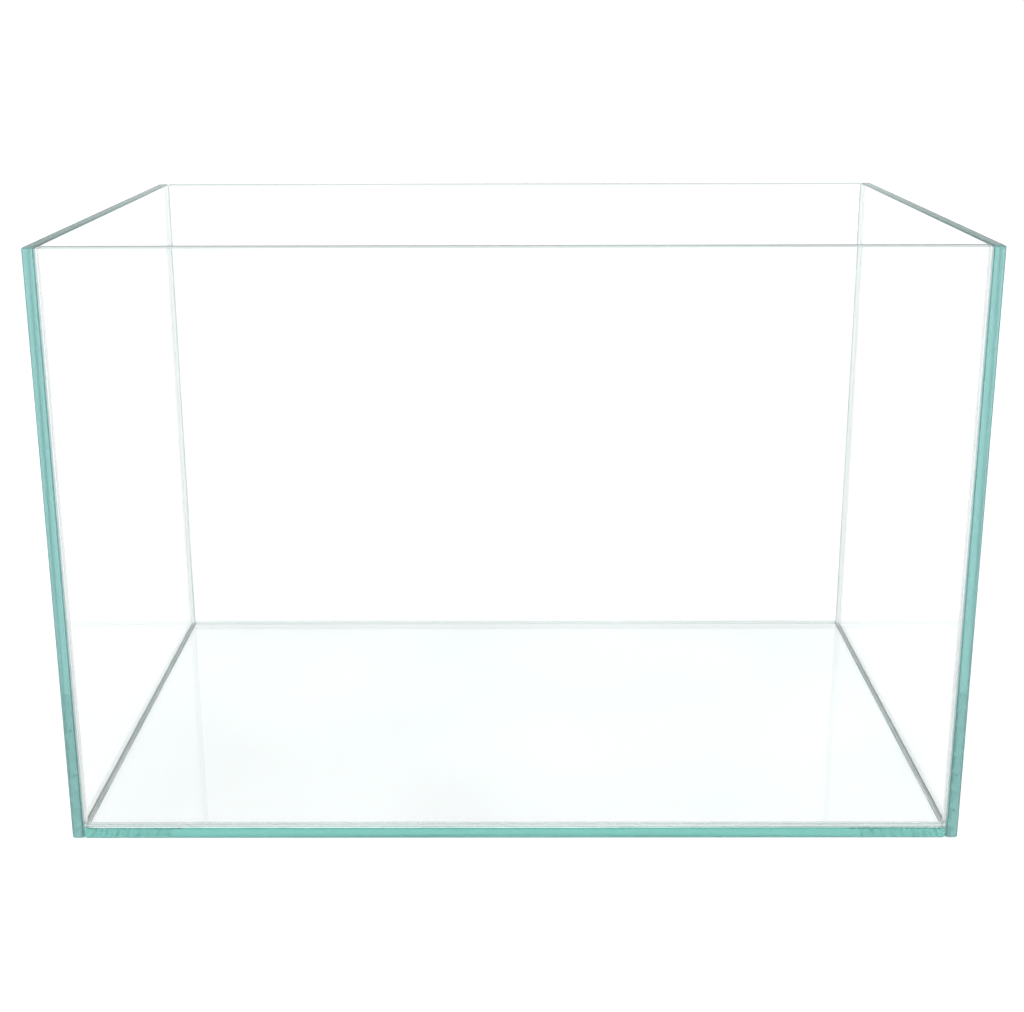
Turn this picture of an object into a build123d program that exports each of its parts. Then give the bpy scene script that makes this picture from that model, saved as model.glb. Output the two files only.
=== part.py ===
from build123d import *

import os

# Rimless aquarium tank: five panes of float glass that are held together by silicone alone.
#
# Frame: millimetres, +X along the front, +Y to the back, +Z up. The origin is the centre of the
# underside, so the tank stands on z = 0.
#
# Build-up: the side panes have the full depth and the full height. The base pane lies between
# them, flush with their lower edges. The front and back panes stand on the base, between the
# side panes. At every joint the edge of one pane is glued to the face of another: a thin bond
# fills the joint, and a concave seal runs along the inside corner.

# Driving dimensions
tank_length = 600.0  # outside, along X
tank_depth = 400.0  # outside, along Y
tank_height = 400.0  # outside, along Z
glass_thickness = 8.0
arris = 1.0  # leg of the 45 degree bevel along every edge of a pane
bond_thickness = 0.5  # silicone between a pane's edge and the face that it is glued to
seal_reach = 2.0  # how far a seal reaches along both panes from their corner
seal_dip = 0.3  # how deep the tooled face of a seal curves in from a straight bevel

# The inner faces of the panes, measured from the middle of the tank and from the underside
inner_half_length = tank_length / 2 - glass_thickness
inner_half_depth = tank_depth / 2 - glass_thickness
floor_height = glass_thickness

# The edges that are glued: they stop one bond short of the face that they meet
glued_half_length = inner_half_length - bond_thickness
wall_foot_height = floor_height + bond_thickness

# The flat middle of a glued edge, between its two arrises, is what a bond covers
outer_flat_half_depth = tank_depth / 2 - arris
inner_flat_half_depth = inner_half_depth + arris
rim_flat_height = tank_height - arris

SIDES = {"left": -1, "right": 1}
ENDS = {"front": -1, "back": 1}


def block(x_span, y_span, z_span):
    """A plain block between two places along each axis, given in either order."""
    spans = (x_span, y_span, z_span)
    size = [abs(end - start) for start, end in spans]
    centre = [(start + end) / 2 for start, end in spans]
    return Pos(*centre) * Box(*size)


def pane(x_span, y_span, z_span):
    """A rectangular pane of glass with an arris along each of its twelve edges."""
    sheet = block(x_span, y_span, z_span)
    return chamfer(sheet.edges(), arris)


def seal_profile():
    """The section of a seal, in the corner of a through face (x = 0) and a glued pane (y = 0).

    It fills the arris of the glued pane, back to the bond, and its free face is an arc that
    dips towards the corner.
    """
    on_glued_pane = (seal_reach, 0)
    on_through_face = (0, seal_reach)
    dip_across = seal_reach / 2 - seal_dip / 2**0.5
    outline = Polyline(
        on_through_face,
        (0, -arris),
        (bond_thickness, -arris),
        (bond_thickness + arris, 0),
        on_glued_pane,
    )
    free_face = ThreePointArc(on_glued_pane, (dip_across, dip_across), on_through_face)
    return make_face([outline, free_face])


def seal(corner, from_through_face, from_glued_pane, run):
    """A seal along one inside corner: its profile carried half the run to each side.

    corner is the middle of the corner line, and the two directions point into the tank, away
    from the through face and away from the glued pane.
    """
    away = Vector(*from_through_face)
    section = Plane(corner, x_dir=away, z_dir=away.cross(Vector(*from_glued_pane)))
    return extrude(section * seal_profile(), amount=run / 2, both=True)


def side_pane(side):
    outer = side * tank_length / 2
    inner = side * inner_half_length
    return pane((outer, inner), (-tank_depth / 2, tank_depth / 2), (0, tank_height))


def end_pane(end):
    outer = end * tank_depth / 2
    inner = end * inner_half_depth
    return pane((-glued_half_length, glued_half_length), (outer, inner), (wall_foot_height, tank_height))


def base_pane():
    return pane((-glued_half_length, glued_half_length), (-tank_depth / 2, tank_depth / 2), (0, floor_height))


def base_side_bond(side):
    """The bond between a long flat of the base's edge and a side pane."""
    x_span = (side * inner_half_length, side * glued_half_length)
    y_span = (-outer_flat_half_depth, outer_flat_half_depth)
    return block(x_span, y_span, (arris, floor_height - arris))


def base_end_bond(end):
    """The bond under the front or back pane. Its ends meet the upright bonds."""
    x_span = (-glued_half_length, glued_half_length)
    y_span = (end * outer_flat_half_depth, end * inner_flat_half_depth)
    return block(x_span, y_span, (floor_height, wall_foot_height))


def upright_bond(side, end):
    """The bond up a corner of the tank. It stands on the base's side bond."""
    x_span = (side * inner_half_length, side * glued_half_length)
    y_span = (end * outer_flat_half_depth, end * inner_flat_half_depth)
    return block(x_span, y_span, (floor_height - arris, rim_flat_height))


def base_end_seal(end):
    corner = (0, end * inner_half_depth, floor_height)
    return seal(corner, (0, 0, 1), (0, -end, 0), 2 * inner_half_length)


def base_side_seal(side):
    corner = (side * inner_half_length, 0, floor_height)
    return seal(corner, (-side, 0, 0), (0, 0, 1), 2 * inner_half_depth)


def upright_seal(side, end):
    run = rim_flat_height - floor_height
    corner = (side * inner_half_length, end * inner_half_depth, floor_height + run / 2)
    return seal(corner, (-side, 0, 0), (0, -end, 0), run)


nodes = {"base_pane": base_pane()}

for side_name, side in SIDES.items():
    nodes[f"{side_name}_pane"] = side_pane(side)
    nodes[f"base_{side_name}_bond"] = base_side_bond(side)

for end_name, end in ENDS.items():
    nodes[f"{end_name}_pane"] = end_pane(end)
    nodes[f"base_{end_name}_bond"] = base_end_bond(end)
    nodes[f"base_{end_name}_seal"] = base_end_seal(end)

# The seals run into each other in the corners: the base's side seals stop at the front and back
# ones, and the upright seals stand on both.
for side_name, side in SIDES.items():
    end_seals = [nodes[f"base_{end_name}_seal"] for end_name in ENDS]
    nodes[f"base_{side_name}_seal"] = base_side_seal(side) - end_seals
    for end_name, end in ENDS.items():
        below = [nodes[f"base_{end_name}_seal"], nodes[f"base_{side_name}_seal"]]
        nodes[f"{end_name}_{side_name}_bond"] = upright_bond(side, end)
        nodes[f"{end_name}_{side_name}_seal"] = upright_seal(side, end) - below

os.makedirs("parts", exist_ok=True)
for name, solid in nodes.items():
    export_step(solid, f"parts/{name}.step")
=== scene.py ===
# %% [markdown]
# # A rimless glass aquarium tank
# Five panes of low-iron float glass are held together by clear silicone alone: there is no
# frame, lid or brace. The CAD model already has the true shape of every pane, with its small
# bevels, so the panes keep their meshes and only get a material. The silicone was pumped in and
# smoothed by hand, which a straight CAD sweep can't show, so each run of it is built here again
# as a surface with the slight unevenness of hand work.

# %% Load the CAD frame
import math

import bpy
import numpy as np
from mathutils import Matrix, Vector


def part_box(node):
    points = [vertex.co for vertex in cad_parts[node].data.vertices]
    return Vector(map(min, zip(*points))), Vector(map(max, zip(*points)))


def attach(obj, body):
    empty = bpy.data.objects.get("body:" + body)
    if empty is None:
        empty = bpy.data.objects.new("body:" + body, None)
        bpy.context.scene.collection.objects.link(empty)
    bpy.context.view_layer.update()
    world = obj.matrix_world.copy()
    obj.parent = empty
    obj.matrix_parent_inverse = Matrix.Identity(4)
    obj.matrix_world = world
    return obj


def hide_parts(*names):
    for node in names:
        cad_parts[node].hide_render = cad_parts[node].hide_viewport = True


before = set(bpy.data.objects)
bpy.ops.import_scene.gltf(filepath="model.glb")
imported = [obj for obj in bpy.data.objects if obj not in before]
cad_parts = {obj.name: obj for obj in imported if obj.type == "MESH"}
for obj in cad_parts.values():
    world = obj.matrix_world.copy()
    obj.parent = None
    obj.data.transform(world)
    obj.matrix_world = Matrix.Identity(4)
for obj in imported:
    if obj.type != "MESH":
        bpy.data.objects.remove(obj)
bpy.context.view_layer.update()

MM = 0.001
scene = bpy.context.scene

# %% [markdown]
# ## Read the sizes from the frame
# Everything that is built below hangs on a few planes: the inner faces of the four walls, the
# top of the base and the rim. They could be typed in again, but then a new size in the CAD model
# would leave the silicone behind. They are read from the boxes of the CAD nodes instead.

# %% Planes and sizes of the tank
SIDES = {"left": -1, "right": 1}
ENDS = {"front": -1, "back": 1}

floor_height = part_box("base_pane")[1].z
inner_half_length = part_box("right_pane")[0].x
inner_half_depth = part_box("back_pane")[0].y
glass_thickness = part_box("right_pane")[1].x - inner_half_length
bond_thickness = inner_half_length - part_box("front_pane")[1].x
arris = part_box("front_pane")[1].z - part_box("front_left_bond")[1].z
seal_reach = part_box("front_left_seal")[1].x + inner_half_length
upright_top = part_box("front_left_bond")[1].z
upright_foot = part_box("front_left_bond")[0].z
base_bond_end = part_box("base_left_bond")[1].y

for name, size in (("glass", glass_thickness), ("bond", bond_thickness), ("arris", arris),
                   ("seal reach", seal_reach)):
    print(f"{name}: {size / MM:.2f} mm")

# %% [markdown]
# ## The camera
# The tank is seen from the front, from a little above its rim, so that both the rims and the
# floor show. A camera in Blender looks along its own -Z. One rotation tips it up to the
# horizon and down again by the pitch, and others give it a trace of yaw and roll.

# %% Place the camera
camera_place = Vector((0.0025, -1.1924, 0.5318))
camera_yaw = math.radians(-0.213)
camera_pitch = math.radians(16.636)
camera_roll = math.radians(-0.145)

camera_data = bpy.data.cameras.new("studio_camera")
camera_data.lens = 57.18
camera_data.sensor_width = 36.0
camera_data.clip_start = 10 * MM
camera = bpy.data.objects.new("studio_camera", camera_data)
look_down = Matrix.Rotation(math.pi / 2 - camera_pitch, 4, "X")
turned = Matrix.Rotation(-camera_yaw, 4, "Z") @ look_down @ Matrix.Rotation(camera_roll, 4, "Z")
camera.matrix_world = Matrix.Translation(camera_place) @ turned
scene.collection.objects.link(camera)
scene.camera = camera
print(f"camera {camera_place.length:.2f} m from the origin")

# %% [markdown]
# ## Colours and nodes
# Hex colours are written for screens, in sRGB, but a renderer adds up light, so each one is
# turned to linear light by one function. Another function adds a node: its settings are plain
# keywords, and each of its inputs takes a value, or the output that feeds it.

# %% Helpers for materials
def linear(hex_colour):
    """The linear RGBA of an sRGB hex value such as "#79D0C9"."""
    srgb = np.array([int(hex_colour[i:i + 2], 16) / 255 for i in (1, 3, 5)])
    light = np.where(srgb <= 0.04045, srgb / 12.92, ((srgb + 0.055) / 1.055) ** 2.4)
    return (*light, 1.0)


def add(tree, kind, inputs=None, **settings):
    """Adds a node with its settings. An input, by name or number, takes a value or an output."""
    node = tree.nodes.new(kind)
    for name, value in settings.items():
        setattr(node, name, value)
    for name, value in (inputs or {}).items():
        if isinstance(value, bpy.types.NodeSocket):
            tree.links.new(value, node.inputs[name])
        else:
            node.inputs[name].default_value = value
    return node


def new_material(name):
    """An empty node material, with its tree."""
    material = bpy.data.materials.new(name)
    material.use_nodes = True
    material.node_tree.nodes.clear()
    return material, material.node_tree


print("the grey #808080 gives", round(linear("#808080")[0], 3), "of the light of white")

# %% [markdown]
# ## Telling the surfaces of a pane apart
# A pane's faces are as they came off the molten tin. Its edges were ground flat and polished,
# and its sharp corners were taken off with a belt, which leaves a narrow satin bevel that a
# glazier calls an arris. The rim is rougher than the other edges, because it is handled and wiped.
# Where silicone wets an edge it fills the fine scratches, and the edge turns clear again.
# Different materials on different triangles could show that, but the CAD mesh stays as it is, so
# the surfaces are told apart by the way they point and by their place.

# %% Masks from the normal and the place
ALONG_ONE_AXIS = 0.9  # a bevel at 45 degrees has no part of its normal over 0.71
MOSTLY = 0.5  # a surface points along an axis for the most part if that part is over this
MIX_SOCKETS = {"VECTOR": (4, 5, 1), "RGBA": (6, 7, 2)}  # A, B and the result of a Mix node


def size_parts(tree, vector):
    """The three parts of a vector, without their signs."""
    size = add(tree, "ShaderNodeVectorMath", {0: vector}, operation="ABSOLUTE").outputs[0]
    return add(tree, "ShaderNodeSeparateXYZ", {0: size}).outputs


def surface_masks(tree, place, thickness_axis, dry_half_length, dry_heights):
    """Masks for the dry edges, for the rim and for the dry arrises of a pane.

    What lies further from the middle along X than the dry half length, or outside the two dry
    heights, is wetted by silicone or polished clear.
    """
    normal = add(tree, "ShaderNodeNewGeometry").outputs["True Normal"]
    along_x, along_y, along_z = size_parts(tree, normal)
    from_middle, _, height = size_parts(tree, place)
    dry = add(tree, "ShaderNodeMath", {0: from_middle, 1: dry_half_length}, operation="LESS_THAN")
    for limit, test in zip(dry_heights, ("GREATER_THAN", "LESS_THAN")):
        passed = add(tree, "ShaderNodeMath", {0: height, 1: limit}, operation=test)
        dry = add(tree, "ShaderNodeMath", {0: dry.outputs[0], 1: passed.outputs[0]}, operation="MULTIPLY")

    larger = add(tree, "ShaderNodeMath", {0: along_x, 1: along_y}, operation="MAXIMUM").outputs[0]
    largest = add(tree, "ShaderNodeMath", {0: larger, 1: along_z}, operation="MAXIMUM").outputs[0]
    on_arris = add(tree, "ShaderNodeMath", {0: largest, 1: ALONG_ONE_AXIS}, operation="LESS_THAN")
    thickness_part = (along_x, along_y, along_z)[thickness_axis]
    on_edge = add(tree, "ShaderNodeMath", {0: thickness_part, 1: MOSTLY}, operation="LESS_THAN")
    level = add(tree, "ShaderNodeMath", {0: along_z, 1: MOSTLY}, operation="GREATER_THAN")
    on_rim = add(tree, "ShaderNodeMath", {0: on_edge.outputs[0], 1: level.outputs[0]},
                 operation="MULTIPLY")
    return [add(tree, "ShaderNodeMath", {0: dry.outputs[0], 1: mask.outputs[0]},
                operation="MULTIPLY").outputs[0] for mask in (on_edge, on_rim, on_arris)]


def by_surface(tree, masks, values, data_type):
    """Picks the value for a face, an edge, the rim or an arris by the masks of the last three."""
    a, b, result = MIX_SOCKETS[data_type]
    picked = values[0]
    for mask, value in zip(masks, values[1:]):
        picked = add(tree, "ShaderNodeMix", {0: mask, a: picked, b: value},
                     data_type=data_type).outputs[result]
    return picked


# %% [markdown]
# ## Low-iron float glass
# The tint of this glass is too faint to see through a face, but light that runs inside a pane
# from its back edge to its front edge comes out teal. A coloured edge could be painted on, but
# it would look wrong from any other side. Absorption in the volume is what the real glass has:
# it takes a little of the red out of each metre, and gives both the clear face and the teal edge.
#
# Each kind of surface has a pattern of its own. A face is as smooth as a mirror, but wiping leaves
# a thin film on it, which greys it a little in patches. An edge and the rim carry fine lines along
# their length from the polishing wheel, and an arris the grain of the belt. One noise serves them
# all, because only its scale differs: the lines are a noise that is fine across the thickness and
# long along the pane. Real ones are some 0.1 mm apart, and are drawn wider so that they show.
#
# The base was cut from another sheet, which is a little greener. The rim and the arrises are also given a
# grey tint, which is painted shade that darkens them.

# %% Glass material
GLASS_IOR = 1.52
WALL_TINT = ("#79CFCB", 4.1)  # the colour that is left, and how strongly per metre
BASE_TINT = ("#76DAD2", 4.7)
FILM_PATCH = 160 * MM
EDGE_LINE_WIDTH = 1.6 * MM
EDGE_LINE_LENGTH = 90 * MM
EDGE_LINE_DEPTH = 0.002 * MM
BELT_GRAIN = 0.5 * MM
FACE_ROUGHNESS = (0.0, 0.0)
EDGE_ROUGHNESS = (0.05, 0.12)
RIM_ROUGHNESS = (0.36, 0.46)
ARRIS_ROUGHNESS = (0.4, 0.6)
FLAT, CUT = 0.0, 1.0  # how much of the pattern is relief
FACE_TINTS = ("#FAFAFA", "#FFFFFF")
EDGE_TINTS = ("#F2F6F5", "#FFFFFF")
# the grey of the rim tints is painted shade: it darkens the rim, and the glass there has no grey of its
# own
RIM_PAINTED_SHADE_TINTS = ("#D4DEDB", "#E4EBE9")
# the grey of the arris tints is painted shade too: it darkens the narrow bevels beside the teal edges
ARRIS_PAINTED_SHADE_TINTS = ("#A8B8B5", "#CFDAD8")
PATTERN_LOW, PATTERN_HIGH = 0.3, 0.7  # a noise seldom leaves these


def float_glass(name, thickness_axis, dry_half_length, dry_heights, tint):
    """Clear glass for a pane whose thickness runs along one axis: 0, 1 or 2 for X, Y or Z."""
    material, tree = new_material(name)
    place = add(tree, "ShaderNodeTexCoord").outputs["Object"]
    masks = surface_masks(tree, place, thickness_axis, dry_half_length, dry_heights)

    film_scale = [1 / FILM_PATCH] * 3
    line_scale = [1 / EDGE_LINE_LENGTH] * 3
    line_scale[thickness_axis] = 1 / EDGE_LINE_WIDTH
    grain_scale = [1 / BELT_GRAIN] * 3
    scale = by_surface(tree, masks, (film_scale, line_scale, line_scale, grain_scale), "VECTOR")
    scaled = add(tree, "ShaderNodeVectorMath", {0: place, 1: scale}, operation="MULTIPLY").outputs[0]
    noise = add(tree, "ShaderNodeTexNoise", {"Vector": scaled, "Scale": 1.0, "Detail": 1.0}).outputs[0]
    pattern = add(tree, "ShaderNodeMapRange", {0: noise, 1: PATTERN_LOW, 2: PATTERN_HIGH}).outputs[0]

    finish = by_surface(tree, masks, ((*FACE_ROUGHNESS, FLAT), (*EDGE_ROUGHNESS, CUT),
                                      (*RIM_ROUGHNESS, CUT), (*ARRIS_ROUGHNESS, CUT)), "VECTOR")
    smoothest, roughest, cut = add(tree, "ShaderNodeSeparateXYZ", {0: finish}).outputs
    roughness = add(tree, "ShaderNodeMapRange", {0: pattern, 3: smoothest, 4: roughest}).outputs[0]
    # the grey picked here for the rim and the arrises is painted shade
    darkest, lightest = [by_surface(tree, masks, [linear(tint) for tint in tints], "RGBA")
                         for tints in zip(FACE_TINTS, EDGE_TINTS, RIM_PAINTED_SHADE_TINTS, ARRIS_PAINTED_SHADE_TINTS)]
    colour = add(tree, "ShaderNodeMix", {0: pattern, 6: darkest, 7: lightest}, data_type="RGBA").outputs[2]
    relief = add(tree, "ShaderNodeMath", {0: pattern, 1: cut}, operation="MULTIPLY").outputs[0]
    bump = add(tree, "ShaderNodeBump",
               {"Height": relief, "Distance": EDGE_LINE_DEPTH, "Strength": 1.0}).outputs[0]
    shader = add(tree, "ShaderNodeBsdfPrincipled",
                 {"Base Color": colour, "Roughness": roughness, "Normal": bump, "IOR": GLASS_IOR,
                  "Transmission Weight": 1.0}).outputs[0]
    body = add(tree, "ShaderNodeVolumeAbsorption",
               {"Color": linear(tint[0]), "Density": tint[1]}).outputs[0]
    add(tree, "ShaderNodeOutputMaterial", {"Surface": shader, "Volume": body})
    return material


# %% [markdown]
# ## Glass on the panes
# The side panes have no glued edge, but their lower edges are polished clear: light that runs
# down inside a pane is turned back up there, and a matt foot would dull the lowest quarter of the
# teal front edges. The front and back panes are glued along both sides and along the foot, and the
# base along its two sides. The silicone under the front and back panes also wets the upper arrises
# of the base. So there are three glasses.

# %% Give the panes their glass
WETTED = 1.1 * arris  # how far from a clear edge, glued or polished, its arrises are clear too
BELOW_ALL = -1.0  # two heights that no part of the tank reaches, in metres
ABOVE_ALL = 2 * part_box("left_pane")[1].z
dry_half_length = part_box("front_pane")[1].x - WETTED
dry_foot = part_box("front_pane")[0].z + WETTED
dry_base_top = floor_height - WETTED

side_glass = float_glass("low_iron_float_glass_side", 0, 2 * inner_half_length, (WETTED, ABOVE_ALL),
                         WALL_TINT)
end_glass = float_glass("low_iron_float_glass_end", 1, dry_half_length, (dry_foot, ABOVE_ALL), WALL_TINT)
base_glass = float_glass("low_iron_float_glass_base", 2, dry_half_length, (BELOW_ALL, dry_base_top),
                         BASE_TINT)

PANE_GLASS = {"left_pane": side_glass, "right_pane": side_glass, "front_pane": end_glass,
              "back_pane": end_glass, "base_pane": base_glass}
for pane_name, glass in PANE_GLASS.items():
    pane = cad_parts[pane_name]
    pane.data.materials.clear()
    pane.data.materials.append(glass)
    print(pane_name, "gets", glass.name)

# %% [markdown]
# ## Clear silicone
# Clear aquarium silicone bends light a little less than glass does. Where it was pressed against
# the glass it wets it, and that side is smooth. Its free face was smoothed by a finger or a
# spatula, which leaves it satin, with faint drag lines along each run. A touch of white in the
# volume would look milky, but inside glass it only turns dark, so the soft look comes from the
# satin face alone. The lines can't follow the object's axes, because the runs go three ways, so
# they follow a UV map in metres: along the run, and round its section. An attribute of the faces
# tells the free side from the wetted one.

# %% Silicone material
SILICONE_IOR = 1.41
SILICONE_TINTS = ("#F6F8F8", "#FFFFFF")
FREE_ROUGHNESS = (0.26, 0.42)
DRAG_LINE_WIDTH = 0.4 * MM
DRAG_LINE_LENGTH = 25 * MM
DRAG_LINE_DEPTH = 0.03 * MM
RUN_MAP = "along_and_round"
FREE_FACE = "free_face"


def clear_silicone():
    """Clear silicone: satin with drag lines on its free face, smooth where it wets the glass."""
    material, tree = new_material("clear_silicone_tooled")
    place = add(tree, "ShaderNodeUVMap", uv_map=RUN_MAP).outputs[0]
    free = add(tree, "ShaderNodeAttribute", attribute_name=FREE_FACE).outputs["Fac"]
    scale = (1 / DRAG_LINE_LENGTH, 1 / DRAG_LINE_WIDTH, 1.0)
    stretched = add(tree, "ShaderNodeMapping", {"Vector": place, "Scale": scale}).outputs[0]
    noise = add(tree, "ShaderNodeTexNoise", {"Vector": stretched, "Scale": 1.0}).outputs[0]
    lines = add(tree, "ShaderNodeMapRange", {0: noise, 1: PATTERN_LOW, 2: PATTERN_HIGH}).outputs[0]
    satin = add(tree, "ShaderNodeMapRange",
                {0: lines, 3: FREE_ROUGHNESS[0], 4: FREE_ROUGHNESS[1]}).outputs[0]
    roughness = add(tree, "ShaderNodeMath", {0: satin, 1: free}, operation="MULTIPLY").outputs[0]
    relief = add(tree, "ShaderNodeMath", {0: lines, 1: free}, operation="MULTIPLY").outputs[0]
    darkest, lightest = map(linear, SILICONE_TINTS)
    colour = add(tree, "ShaderNodeMix", {0: lines, 6: darkest, 7: lightest}, data_type="RGBA").outputs[2]
    bump = add(tree, "ShaderNodeBump", {"Height": relief, "Distance": DRAG_LINE_DEPTH}).outputs[0]
    shader = add(tree, "ShaderNodeBsdfPrincipled",
                 {"Base Color": colour, "Roughness": roughness, "Normal": bump,
                  "IOR": SILICONE_IOR, "Transmission Weight": 1.0}).outputs[0]
    add(tree, "ShaderNodeOutputMaterial", {"Surface": shader})
    return material


silicone = clear_silicone()
print(silicone.name, "has", len(silicone.node_tree.nodes), "nodes")

# %% [markdown]
# ## Profiles carried along a run
# Every run of silicone is one closed surface: a ring of points for each station along the run,
# joined to the next ring by quads, with one face over each end. A curve with a bevel could carry
# a profile too, but not one that changes from station to station, so the rings are worked out
# as whole arrays.

# %% Rings of points to a mesh
SHARP_ANGLE = math.radians(35)


def run_mesh(name, points, distance, free):
    """A closed surface through rings of points, with the shape (rings, points in a ring, 3).

    Seen with the run coming towards the eye, the rings go anticlockwise, so the quads face
    outwards. The UV map holds the distance along the run, and the distance round the ring: the
    sum of the steps from point to point. free says of each step round the ring whether it is part
    of the free face.
    """
    rings, around = points.shape[:2]
    index = np.arange(rings * around).reshape(rings, around)
    ahead = np.roll(index, -1, axis=1)
    quads = np.stack([index[:-1], ahead[:-1], ahead[1:], index[1:]], axis=-1).reshape(-1, 4)
    faces = quads.tolist() + [index[0, ::-1].tolist(), index[-1].tolist()]
    mesh = bpy.data.meshes.new(name)
    mesh.from_pydata(points.reshape(-1, 3).tolist(), [], faces)

    steps = np.linalg.norm(np.diff(points, axis=1, append=points[:, :1]), axis=2)
    round_way = np.pad(steps.cumsum(axis=1), ((0, 0), (1, 0)))
    grid = np.stack([np.broadcast_to(distance[:, None], round_way.shape), round_way], axis=-1)
    quad_map = np.stack([grid[:-1, :-1], grid[:-1, 1:], grid[1:, 1:], grid[1:, :-1]], axis=2)
    end_map = np.concatenate([grid[0, -2::-1], grid[-1, :-1]])
    layer = mesh.uv_layers.new(name=RUN_MAP)
    layer.uv.foreach_set("vector", np.concatenate([quad_map.reshape(-1, 2), end_map]).ravel())

    attribute = mesh.attributes.new(FREE_FACE, "FLOAT", "FACE")
    attribute.data.foreach_set("value", np.append(np.tile(free, rings - 1), (0.0, 0.0)))

    mesh.shade_smooth()
    mesh.set_sharp_from_angle(angle=SHARP_ANGLE)
    mesh.validate()
    return mesh


# %% [markdown]
# ## Placing a run
# A joint always has the same parts: a through face that goes on past the corner, and a glued
# pane that ends one bond short of it. So each profile is drawn in two directions, away from the
# through face and away from the glued pane, and is carried along a third. A corner's three
# directions are enough to put it anywhere in the tank.

# %% A piece of silicone
BITE = 0.02 * MM  # how far silicone runs into the glass, so that no film of air is between


def silicone_piece(node, corner, directions, along, across, out, first_free, free_steps):
    """corner + along * run + across * away from the face + out * away from the glued pane.

    A ring goes anticlockwise when across is drawn to the right and out is drawn up. Its free face
    starts at the point first_free, and has free_steps steps.
    """
    run, from_face, from_pane = (np.array(direction, float) for direction in directions)
    points = (np.array(corner) + along[..., None] * run + across[..., None] * from_face
              + out[..., None] * from_pane)
    free = np.zeros(points.shape[1])
    free[first_free:first_free + free_steps] = 1.0
    if np.cross(from_face, from_pane) @ run < 0:
        points = points[:, ::-1]
        free = np.roll(free[::-1], -1)
    mesh = run_mesh(f"clear_{node}", points, along.mean(axis=1), free)
    piece = bpy.data.objects.new(mesh.name, mesh)
    scene.collection.objects.link(piece)
    mesh.materials.append(silicone)
    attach(piece, "root")
    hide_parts(node)
    print(f"{piece.name}: {len(mesh.polygons)} faces, {np.ptp(along) / MM:.1f} mm long")


# %% [markdown]
# ## The unevenness of hand work
# A hand that draws a nozzle or a spatula along a joint speeds up and slows down, so the run
# swells and thins. A noise would do, but a sum of a few long sines is smooth everywhere and easy
# to fade to nothing at the corners, where the runs have to meet.

# %% Stations and the hand's wave
STATION_SPACING = 3 * MM
WAVE_LENGTHS = np.array([140, 61, 23]) * MM
WAVE_SHARES = np.array([0.5, 0.3, 0.2])
WAVE_FADE = 12 * MM
SIDE_BOND_SEED, UPRIGHT_BOND_SEED, END_BOND_SEED = 10, 20, 30
SIDE_SEAL_SEED, UPRIGHT_SEAL_SEED, END_SEAL_SEED = 40, 50, 60
OTHER_LIP = 100  # between the seeds of the two lips of a seal
OTHER_END = 3  # between the seeds of the uprights of one side


def stations(start, end):
    """Places along a run, as a column."""
    count = max(2, round((end - start) / STATION_SPACING) + 1)
    return np.linspace(start, end, count)[:, None]


def hand_wave(along, size, seed):
    """The sum of three sines of different length and phase, faded out at both ends."""
    phases = np.random.default_rng(seed).uniform(0, 2 * math.pi, len(WAVE_LENGTHS))
    wave = (WAVE_SHARES * np.sin(2 * math.pi * along / WAVE_LENGTHS + phases)).sum(axis=1, keepdims=True)
    from_end = np.minimum(along - along[0], along[-1] - along)
    return size * wave * np.clip(from_end / WAVE_FADE, 0, 1)


# %% [markdown]
# ## Bonds
# A bond fills the gap between a pane's edge and the face it is glued to. From outside, the
# silicone is seen in the little groove that the arris leaves: it was pressed out, wiped, and
# shrank as it cured, so it ends in a hollow line inside the groove.

# %% Make the bonds
BOND_FILL = 2 / 3 * arris  # how far the silicone comes up the groove
BOND_HOLLOW = 1 / 3 * arris  # how deep its face dips between the groove's sides
BOND_WAVE = 1 / 6 * arris
HOLLOW_POINTS = 7


def bond(node, corner, directions, start, end, seed):
    """A flat strip whose outer end is a parabola, 4 h t (1 - t) deep, between the groove's sides."""
    along = stations(start, end)
    inner = BITE - arris
    outer = arris - glass_thickness
    fill = BOND_FILL + hand_wave(along, BOND_WAVE, seed)
    t = np.linspace(0, 1, HOLLOW_POINTS)
    wall = np.full_like(along, -BITE)
    pane_edge = np.full_like(along, bond_thickness + BITE)
    at_inner = np.full_like(along, inner)
    at_outer = np.full_like(along, outer)
    hollow_across = (bond_thickness + fill + BITE) * t - BITE
    hollow_out = outer - fill + BOND_HOLLOW * 4 * t * (1 - t)
    across = np.hstack([wall, wall, hollow_across, pane_edge, pane_edge])
    out = np.hstack([at_inner, at_outer, hollow_out, at_outer, at_inner])
    along = np.broadcast_to(along, out.shape)
    silicone_piece(node, corner, directions, along, across, out,
                   first_free=2, free_steps=HOLLOW_POINTS - 1)


def upright_corner(side, end):
    """The foot of an inside corner of the walls, and the three directions of its joint."""
    corner = (side * inner_half_length, end * inner_half_depth, 0)
    return corner, ((0, 0, 1), (-side, 0, 0), (0, -end, 0))


for side_name, side in SIDES.items():
    bond(f"base_{side_name}_bond", (side * inner_half_length, 0, floor_height),
         ((0, 1, 0), (-side, 0, 0), (0, 0, 1)), -base_bond_end, base_bond_end,
         seed=side + SIDE_BOND_SEED)
    for end_name, end in ENDS.items():
        bond(f"{end_name}_{side_name}_bond", *upright_corner(side, end), upright_foot, upright_top,
             seed=side + OTHER_END * end + UPRIGHT_BOND_SEED)
for end_name, end in ENDS.items():
    half_run = inner_half_length - bond_thickness + BITE
    bond(f"base_{end_name}_bond", (0, end * inner_half_depth, floor_height),
         ((1, 0, 0), (0, 0, 1), (0, -end, 0)), -half_run, half_run,
         seed=end + END_BOND_SEED)

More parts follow.
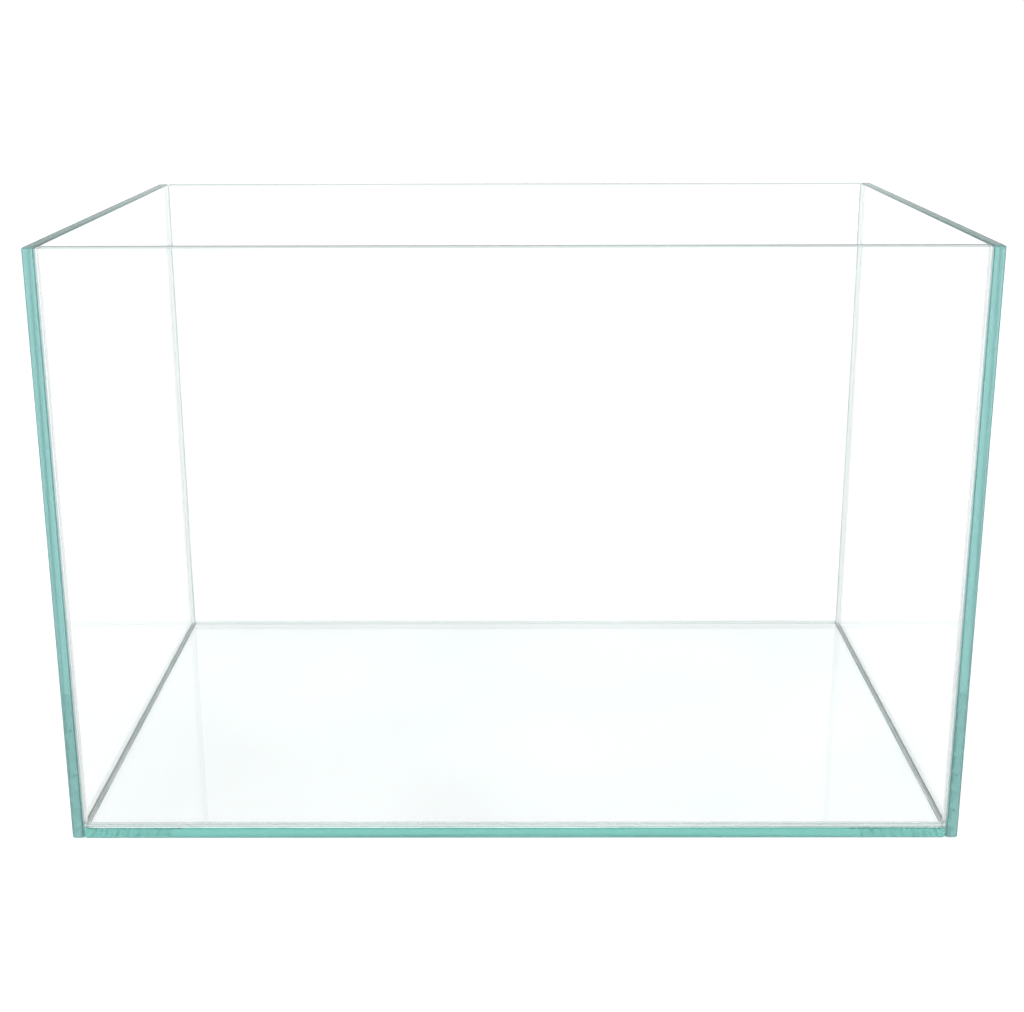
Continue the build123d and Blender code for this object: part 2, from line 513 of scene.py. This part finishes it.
# %% [markdown]
# ## Seals
# A seal is the bead along an inside corner. A finger or a rounded spatula pressed it into both
# panes and left a hollow face with thin lips. In each lower corner of the tank three beads meet
# and were smoothed into one, like three picture-frame mouldings: each point of a bead stops as
# far from the corner as it stands out from it.

# %% Make the seals
LIP = 0.12 * MM  # how thick a bead still is where its hollow face ends
SEAL_DIP = 0.3 * MM
SEAL_WAVE = 0.15 * MM  # how much its reach swells and thins
FREE_POINTS = 13


def seal(node, corner, directions, start, end, seed, mitred_end=True):
    """A corner filled to a hollow face: a bevel that dips in by 4 d t (1 - t).

    It also fills the glued pane's arris, back to the bond. The start is mitred, and so is the
    end unless it is the open top of an upright.
    """
    along = stations(start, end)
    on_face = seal_reach + hand_wave(along, SEAL_WAVE, seed)
    on_pane = seal_reach + hand_wave(along, SEAL_WAVE, seed + OTHER_LIP)
    t = np.linspace(0, 1, FREE_POINTS)
    dip = SEAL_DIP * 4 * t * (1 - t) / math.sqrt(2)
    free_across = on_pane * (1 - t) + LIP * t - dip
    free_out = LIP * (1 - t) + on_face * t - dip
    wall = np.full_like(along, -BITE)
    pocket = np.full_like(along, -arris)
    pane_edge = np.full_like(along, bond_thickness + BITE)
    across = np.hstack([wall, pane_edge, pane_edge + arris, on_pane, free_across, wall])
    out = np.hstack([pocket, pocket, wall, wall, free_out, on_face])
    mitre = np.maximum(across, out) - BITE
    first = start + mitre
    last = end - mitre if mitred_end else np.full_like(mitre, end)
    share = (along - start) / (end - start)
    along = first + (last - first) * share
    silicone_piece(node, corner, directions, along, across, out,
                   first_free=3, free_steps=FREE_POINTS + 1)


for side_name, side in SIDES.items():
    seal(f"base_{side_name}_seal", (side * inner_half_length, 0, floor_height),
         ((0, 1, 0), (-side, 0, 0), (0, 0, 1)), -inner_half_depth, inner_half_depth,
         seed=side + SIDE_SEAL_SEED)
    for end_name, end in ENDS.items():
        seal(f"{end_name}_{side_name}_seal", *upright_corner(side, end), floor_height, upright_top,
             seed=side + OTHER_END * end + UPRIGHT_SEAL_SEED, mitred_end=False)
for end_name, end in ENDS.items():
    seal(f"base_{end_name}_seal", (0, end * inner_half_depth, floor_height),
         ((1, 0, 0), (0, 0, 1), (0, -end, 0)), -inner_half_length, inner_half_length,
         seed=end + END_SEAL_SEED)

# %% [markdown]
# ## The table
# The tank stands on a light table: a sheet of opal acrylic that is lit from below, which is how
# glass is shown with no shadow under it. So its material glows, and has a soft gloss above that.

# %% Make the table
TABLE_HALF = 20.0  # metres from the middle to an edge
TABLE_GAP = 0.2 * MM  # the film of air under the glass
ACRYLIC_COLOUR = "#6E6E6E"
ACRYLIC_ROUGHNESS = (0.3, 0.45)
ACRYLIC_GLOW = 0.94
ACRYLIC_HAZE = 250 * MM

table_mesh = bpy.data.meshes.new("light_table")
CORNERS = ((-1, -1), (1, -1), (1, 1), (-1, 1))
table_corners = [(x * TABLE_HALF, y * TABLE_HALF, -TABLE_GAP) for x, y in CORNERS]
table_mesh.from_pydata(table_corners, [], [(0, 1, 2, 3)])
table = bpy.data.objects.new("light_table", table_mesh)
scene.collection.objects.link(table)

material, tree = new_material("opal_acrylic_lit_from_below")
place = add(tree, "ShaderNodeTexCoord").outputs["Object"]
haze = add(tree, "ShaderNodeTexNoise", {"Vector": place, "Scale": 1 / ACRYLIC_HAZE}).outputs[0]
roughness = add(tree, "ShaderNodeMapRange",
                {0: haze, 3: ACRYLIC_ROUGHNESS[0], 4: ACRYLIC_ROUGHNESS[1]}).outputs[0]
shader = add(tree, "ShaderNodeBsdfPrincipled",
             {"Base Color": linear(ACRYLIC_COLOUR), "Roughness": roughness,
              "Emission Color": linear("#FFFFFF"), "Emission Strength": ACRYLIC_GLOW}).outputs[0]
add(tree, "ShaderNodeOutputMaterial", {"Surface": shader})
table_mesh.materials.append(material)
print(f"table {2 * TABLE_HALF:.0f} m wide, {TABLE_GAP / MM:.1f} mm under the glass")

# %% [markdown]
# ## The studio
# The room is white all round, which is the softest light there is. Only the side that the
# tank's front looks at is dimmer, as it is behind any camera, because glass shows its shape by
# what it mirrors. One large softbox over the tank stands for the ceiling light.

# %% Light the studio
world = bpy.data.worlds.new("white_studio")
scene.world = world
world.use_nodes = True
tree = world.node_tree
tree.nodes.clear()
ROOM_WHITE = 1.04
ROOM_DIM = 0.55
DIM_SIDE = Vector((-0.45, -0.85, 0.1)).normalized()
DIM_FROM, DIM_TO = 0.1, 0.95  # the cosine to the dim side where the room starts and ends to dim
direction = add(tree, "ShaderNodeTexCoord").outputs["Generated"]
towards_dim = add(tree, "ShaderNodeVectorMath", {0: direction, 1: DIM_SIDE}, operation="DOT_PRODUCT")
strength = add(tree, "ShaderNodeMapRange",
               {0: towards_dim.outputs["Value"], 1: DIM_FROM, 2: DIM_TO, 3: ROOM_WHITE, 4: ROOM_DIM},
               interpolation_type="SMOOTHSTEP").outputs[0]
background = add(tree, "ShaderNodeBackground",
                 {"Color": linear("#FEFEFE"), "Strength": strength}).outputs[0]
add(tree, "ShaderNodeOutputWorld", {"Surface": background})

SOFTBOX_SIZE = 1.6
SOFTBOX_RADIANCE = 1.4
SOFTBOX_PLACE = (-0.4, 0.1, 2.2)
softbox_data = bpy.data.lights.new("softbox", "AREA")
softbox_data.size = SOFTBOX_SIZE
softbox_data.energy = SOFTBOX_RADIANCE * math.pi * SOFTBOX_SIZE ** 2
softbox = bpy.data.objects.new("softbox", softbox_data)
softbox.matrix_world = Matrix.Translation(SOFTBOX_PLACE)
scene.collection.objects.link(softbox)

print(f"softbox {SOFTBOX_SIZE} m wide, {SOFTBOX_PLACE[2]} m up")

# %% [markdown]
# ## Paths of light
# Light that comes out of an edge has bounced along inside the pane a few dozen times. With the
# usual dozen bounces the edges would turn black, so the limits go up. The plain view transform
# keeps the white room white.

# %% Set the bounces
BOUNCES_IN_GLASS = 40
BOUNCES_OUTSIDE = 8
DIFFUSE_BOUNCES = 4

scene.view_settings.view_transform = "Standard"
scene.cycles.max_bounces = BOUNCES_IN_GLASS + BOUNCES_OUTSIDE
scene.cycles.glossy_bounces = BOUNCES_IN_GLASS
scene.cycles.transmission_bounces = BOUNCES_IN_GLASS
scene.cycles.diffuse_bounces = DIFFUSE_BOUNCES
print("bounces", scene.cycles.max_bounces)
